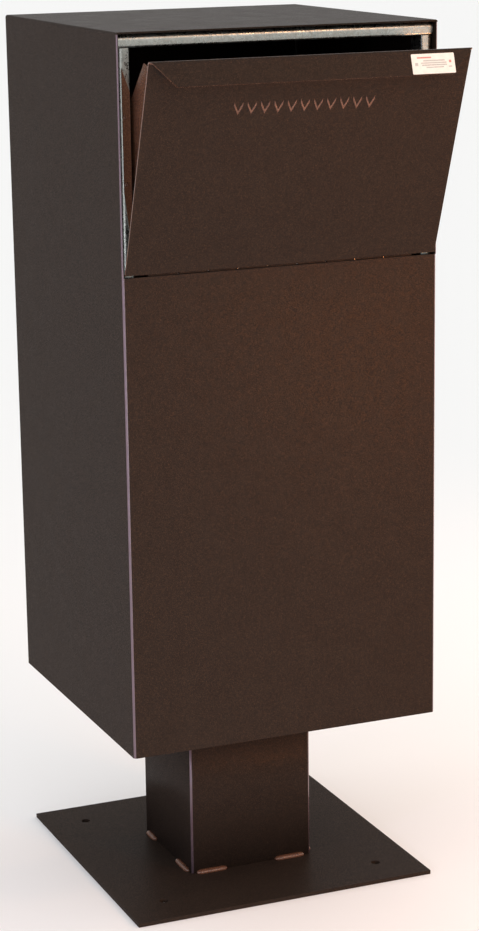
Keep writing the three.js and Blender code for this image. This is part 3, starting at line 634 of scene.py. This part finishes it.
hopper_joint = next(j for j in frame["joints"] if j["name"] == "hopper_hinge")
hinge_place = Vector(hopper_joint["pos_m"])
open_angle = -math.radians(hopper_joint["range_deg"][0])
# From the hinge's own frame (across, behind the door, up the door) to the world.
hopper_place = Matrix.Translation(hinge_place) @ Matrix.Rotation(open_angle, 4, "X")

# How far the sheet's back and edges are from the hinge's axis, in the hinge's own frame.
DOOR_HALF = 187.3 * MM
DOOR_BACK = -2.0 * MM
DOOR_FOOT = 2.8 * MM
DOOR_HEAD = 253.6 * MM
LIP_FOLD = 3.2 * MM
LIP_FOLD_STEPS = 10
LIP_HIGHLIGHT_STEPS = range(4, 7)  # the steps of the profile on the crest of the fold
LIP_EDGE = Vector((-23.1, 232.4)) * MM
LIP_MITRE = 27.4 * MM

fold_centre = Vector((DOOR_BACK - LIP_FOLD, DOOR_HEAD - LIP_FOLD))
to_edge = LIP_EDGE - fold_centre
# The angle round the fold at which the lip's flat leaves it, straight to the lip's edge.
leave = math.degrees(math.atan2(to_edge.y, to_edge.x)) % 360
leave -= math.degrees(math.acos(LIP_FOLD / to_edge.length))
profile = [Vector((DOOR_BACK, DOOR_FOOT))]
profile += [Vector(p) for p in arc(fold_centre, LIP_FOLD, 0, leave, LIP_FOLD_STEPS)]
lip_start = profile[-1]
profile.append(LIP_EDGE)

shape = bmesh.new()
edges = []
for point in profile:
    down_lip = max(0.0, fold_centre.x - point.x) / (fold_centre.x - LIP_EDGE.x)
    half_width = DOOR_HALF - LIP_MITRE * down_lip
    edges.append([(x * half_width, point.x, point.y) for x in (-1, 1)])
for step, (a, b) in enumerate(zip(edges, edges[1:])):
    add_strip(shape, a, b, 1.0 if step in LIP_HIGHLIGHT_STEPS else 0.0)
bmesh.ops.remove_doubles(shape, verts=shape.verts, dist=MERGE)
door = make_piece("hopper_door", shape, coat, painted_light_coat)
door.data.transform(hopper_place)
thicken(door, SHEET)
door.modifiers["sheet"].material_offset_rim = PAINTED_HIGHLIGHT_SLOT  # the cut edges carry the painted highlight too
soften(door, 0.5 * MM, angle=50)
fix(door, "hopper_door_panel")

# ---------- raised marks on the door ----------
# A row of small chevrons is pressed out of the sheet under the lip. The lighter coat on them is a painted
# highlight.

MARK_COUNT = 11
MARK_SPAN = (-80 * MM, 74 * MM)
MARK_LOW, MARK_HIGH = 188 * MM, 203 * MM
MARK_HALF = 5.2 * MM
MARK_BAR = 4.8 * MM  # a bar's height, measured straight up
MARK_RAISE = 0.7 * MM

shape = bmesh.new()
door_face = DOOR_BACK - SHEET
pitch = (MARK_SPAN[1] - MARK_SPAN[0]) / (MARK_COUNT - 1)
for i in range(MARK_COUNT):
    x = MARK_SPAN[0] + i * pitch
    chevron = [
        (x - MARK_HALF, MARK_HIGH),
        (x - MARK_HALF, MARK_HIGH - MARK_BAR),
        (x, MARK_LOW),
        (x + MARK_HALF, MARK_HIGH - MARK_BAR),
        (x + MARK_HALF, MARK_HIGH),
        (x, MARK_LOW + MARK_BAR),
    ]
    back = [shape.verts.new((a, door_face + MARK_RAISE, b)) for a, b in chevron]
    face = [shape.verts.new((a, door_face - MARK_RAISE, b)) for a, b in chevron]
    shape.faces.new(back)
    shape.faces.new(face)
    join_rings(shape, [back, face])
marks = make_piece("pressed_marks", shape, painted_light_coat)
marks.data.transform(hopper_place)
soften(marks, 0.5 * MM, angle=25)
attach(marks, "hopper")

# ---------- label ----------
# A printed white film, stuck on the pull lip near its right end, with rounded corners. Its print
# is only plain bars: one red, the rest grey.

film, tree, shader = new_material("white_vinyl_film")
place = add_node(tree, "TexCoord", {}, {}).outputs["Object"]
soil = add_node(tree, "TexNoise", {}, {"Vector": place, "Scale": 1 / (5 * MM), "Detail": 4.0})
tone = add_node(
    tree,
    "Mix",
    {"data_type": "RGBA"},
    {0: soil.outputs["Fac"], 6: linear("#ece9e2"), 7: linear("#d6d3ca")},
)
set_inputs(tree, shader, {"Base Color": tone.outputs[2], "Roughness": 0.45})


def printing_ink(name, pale, strong):
    """Ink printed on the film: matt, and a little uneven."""
    ink, tree, shader = new_material(name)
    place = add_node(tree, "TexCoord", {}, {}).outputs["Object"]
    speck = add_node(tree, "TexNoise", {}, {"Vector": place, "Scale": 1 / (0.9 * MM)})
    tone = add_node(
        tree,
        "Mix",
        {"data_type": "RGBA"},
        {0: speck.outputs["Fac"], 6: linear(pale), 7: linear(strong)},
    )
    set_inputs(tree, shader, {"Base Color": tone.outputs[2], "Roughness": 0.55})
    return ink


grey_ink = printing_ink("grey_printing_ink", "#cfcfca", "#8f8f8c")
red_ink = printing_ink("red_printing_ink", "#d8a09a", "#b04a44")

LABEL_LENGTH = 51.5 * MM
LABEL_HEIGHT = 22 * MM
LABEL_CORNER = 1.2 * MM
LABEL_FILM = 0.3 * MM
LABEL_UNDER = 0.1 * MM  # how far its underside is let into the lip
LABEL_PLACE = 136.8 * MM  # its middle, right of the door's middle
LABEL_DROP = 0.5 * MM  # its middle, below the middle of the lip's slope
PRINT_RAISE = 0.03 * MM

down_lip = (LIP_EDGE - lip_start).normalized()
out_of_lip = Vector((down_lip.y, -down_lip.x))
label_middle = (lip_start + LIP_EDGE) / 2 + down_lip * LABEL_DROP
# The label's own frame: x along the lip, y up its slope, z out of it.
label_frame = Matrix(
    (
        (1, 0, 0, LABEL_PLACE),
        (0, -down_lip.x, out_of_lip.x, label_middle.x),
        (0, -down_lip.y, out_of_lip.y, label_middle.y),
        (0, 0, 0, 1),
    )
)
shape = bmesh.new()
a, b = LABEL_LENGTH / 2 - LABEL_CORNER, LABEL_HEIGHT / 2 - LABEL_CORNER
rim = []
for x, y, start in ((a, b, 0), (-a, b, 90), (-a, -b, 180), (a, -b, 270)):
    rim += arc((x, y), LABEL_CORNER, start, start + 90, 5)
under = [shape.verts.new((x, y, -LABEL_UNDER)) for x, y in rim]
upper = [shape.verts.new((x, y, LABEL_FILM)) for x, y in rim]
shape.faces.new(under)
shape.faces.new(upper)
join_rings(shape, [under, upper])
GREY, RED = 1, 2  # the inks' places among the label's materials
# Each bar: its left end, foot, length and height, in millimetres, and its ink.
PRINT_BARS = [
    (-19, 6.0, 17, 1.5, RED),
    (-12, 2.6, 26, 1.4, GREY),
    (-15, 0.2, 31, 1.3, GREY),
    (-14, -2.2, 30, 1.4, GREY),
    (-9, -4.6, 21, 1.2, GREY),
    (-22, -2.0, 3.5, 3.4, GREY),
    (19, 0.4, 2.6, 2.8, RED),
    (18, -4.5, 4.0, 1.4, GREY),
]
for x, y, length, height, ink in PRINT_BARS:
    corners = [(x, y), (x + length, y), (x + length, y + height), (x, y + height)]
    bar = add_face(shape, [(p * MM, q * MM, LABEL_FILM + PRINT_RAISE) for p, q in corners])
    bar.material_index = ink
    bar.normal_update()
label = make_piece("lip_label_film", shape, film, grey_ink, red_ink)
for face in label.data.polygons:
    face.use_smooth = False
label.data.transform(hopper_place @ label_frame)
fix(label, "lip_label")

# ---------- hopper wings ----------
# Two flat side plates of painted sheet close the hopper's sides, between the door and the tray.
# Each is cropped level at its head, so that no sharp tip stands up beside the lip. Their lighter
# coat is painted light, lifting them out of the shade inside the opening.

WING_HEAD = 226 * MM  # above the hinge's axis, up the door

for node in ("left_wing", "right_wing"):
    wing = refine(node, painted_light_coat, SHEET_EDGE)
    shape = bmesh.new()
    shape.from_mesh(wing.data)
    shape.transform(hopper_place.inverted())
    cut = bmesh.ops.bisect_plane(
        shape,
        geom=shape.verts[:] + shape.edges[:] + shape.faces[:],
        plane_co=(0, 0, WING_HEAD),
        plane_no=(0, 0, 1),
        clear_outer=True,
    )
    rim = [part for part in cut["geom_cut"] if isinstance(part, bmesh.types.BMEdge)]
    bmesh.ops.contextual_create(shape, geom=rim)
    shape.transform(hopper_place)
    shape.to_mesh(wing.data)
    shape.free()

# ---------- piano hinges ----------
# Rolled knuckles on two steel leaves turn on a plated pin. One hinge, painted with the door,
# carries the hopper. A longer one, left in its zinc plating, carries the retrieval door.

for leaf in ("fixed_leaf", "moving_leaf"):
    refine("hopper_hinge_" + leaf, coat, 0.2 * MM)
    refine("rear_hinge_" + leaf, zinc, 0.2 * MM)

# Polished plated steel of pins and lock: bright, with faint turning marks.
bright, tree, shader = new_material("bright_plated_steel")
place = add_node(tree, "TexCoord", {}, {}).outputs["Object"]
marks_noise = add_node(
    tree, "TexNoise", {}, {"Vector": place, "Scale": 1 / (1.5 * MM), "Detail": 3.0}
)
tone = add_node(
    tree,
    "Mix",
    {"data_type": "RGBA"},
    {0: marks_noise.outputs["Fac"], 6: linear("#b4b4b2"), 7: linear("#d2d2d0")},
)
gloss = add_node(
    tree, "MapRange", {}, {"Value": marks_noise.outputs["Fac"], "To Min": 0.12, "To Max": 0.3}
)
set_inputs(
    tree,
    shader,
    {
        "Base Color": tone.outputs[2],
        "Metallic": 1.0,
        "Roughness": gloss.outputs["Result"],
    },
)
for node in ("hopper_hinge_pin", "rear_hinge_pin"):
    refine(node, bright, 0.2 * MM)

# ---------- lock ----------
# A cam lock through the retrieval door. The flanged barrel and its keyed plug are polished and
# plated; the nut, the cam, its screw and the strike are pressed or turned steel, zinc plated.

refine("lock_body", bright, 0.3 * MM, segments=3)
refine("lock_plug", bright, 0.2 * MM)
for node in ("lock_nut", "lock_cam", "cam_screw", "lock_strike"):
    refine(node, zinc, 0.3 * MM)

# ---------- bumpers ----------
# Moulded black rubber buttons behind the door's top corners, matt with a fine grain.

rubber, tree, shader = new_material("black_rubber")
place = add_node(tree, "TexCoord", {}, {}).outputs["Object"]
grain = add_node(tree, "TexNoise", {}, {"Vector": place, "Scale": 1 / (0.8 * MM)})
tone = add_node(
    tree,
    "Mix",
    {"data_type": "RGBA"},
    {0: grain.outputs["Fac"], 6: linear("#141414"), 7: linear("#242424")},
)
relief = add_node(
    tree, "Bump", {}, {"Height": grain.outputs["Fac"], "Strength": 0.3, "Distance": 0.1 * MM}
)
set_inputs(
    tree,
    shader,
    {"Base Color": tone.outputs[2], "Roughness": 0.8, "Normal": relief.outputs["Normal"]},
)
for node in ("left_door_bumper", "right_door_bumper"):
    refine(node, rubber, 0.4 * MM, segments=3)

# ---------- floor and light ----------
# A plain pale floor in a white studio. Small warm lights at the front right warm the front and the
# pull lip, a low one at the front left fills in the foot, and two strips draw the upright corners.

floor_paint, tree, shader = new_material("pale_floor_paint")
set_inputs(tree, shader, {"Base Color": linear("#f6f6f5"), "Roughness": 0.9})
FLOOR = 40  # metres from the middle to each edge
shape = bmesh.new()
add_face(shape, [(-FLOOR, -FLOOR, 0), (FLOOR, -FLOOR, 0), (FLOOR, FLOOR, 0), (-FLOOR, FLOOR, 0)])
floor = make_piece("floor", shape, floor_paint)

world = bpy.data.worlds.new("white_studio")
world.use_nodes = True
LEFT_STRENGTH, RIGHT_STRENGTH = 0.85, 1.15
toward = add_node(world.node_tree, "TexCoord", {}, {}).outputs["Generated"]
across = add_node(world.node_tree, "SeparateXYZ", {}, {"Vector": toward})
sky = add_node(
    world.node_tree,
    "MapRange",
    {},
    {
        "Value": across.outputs["X"],
        "From Min": -1.0,
        "To Min": LEFT_STRENGTH,
        "To Max": RIGHT_STRENGTH,
    },
)
backdrop = world.node_tree.nodes["Background"]
backdrop.inputs["Color"].default_value = (1, 1, 1, 1)
world.node_tree.links.new(sky.outputs["Result"], backdrop.inputs["Strength"])
bpy.context.scene.world = world
bpy.context.scene.view_settings.view_transform = "Standard"


def softbox(name, place, target, size, power, colour):
    """A rectangular area light at a place, facing a target."""
    lamp = bpy.data.lights.new(name, "AREA")
    lamp.shape = "RECTANGLE"
    lamp.size, lamp.size_y = size
    lamp.energy = power
    lamp.color = linear(colour)[:3]
    light = bpy.data.objects.new(name, lamp)
    aim = (Vector(target) - Vector(place)).to_track_quat("-Z", "Y")
    light.matrix_world = Matrix.Translation(place) @ aim.to_matrix().to_4x4()
    bpy.context.scene.collection.objects.link(light)


softbox("key", (0.55, -1.15, 0.5), (0.15, -0.2, 0.7), (0.25, 0.25), 6, "#ffa860")
softbox("lip_light", (0.47, -1.04, 1.52), (0.1, -0.28, 1.0), (0.25, 0.25), 1.8, "#ffb880")
softbox("low_fill", (-0.9, -1.6, 0.25), (0, 0, 0.1), (0.6, 0.3), 5, "#eef4ff")
softbox("cool_strip", (-1.7, -0.85, 0.6), (-0.19, -0.19, 0.6), (0.14, 1.2), 6, "#dcd0ff")
softbox("warm_strip", (1.7, 0.4, 0.6), (0.15, -0.1, 0.5), (0.2, 1.2), 7, "#ffc8a0")
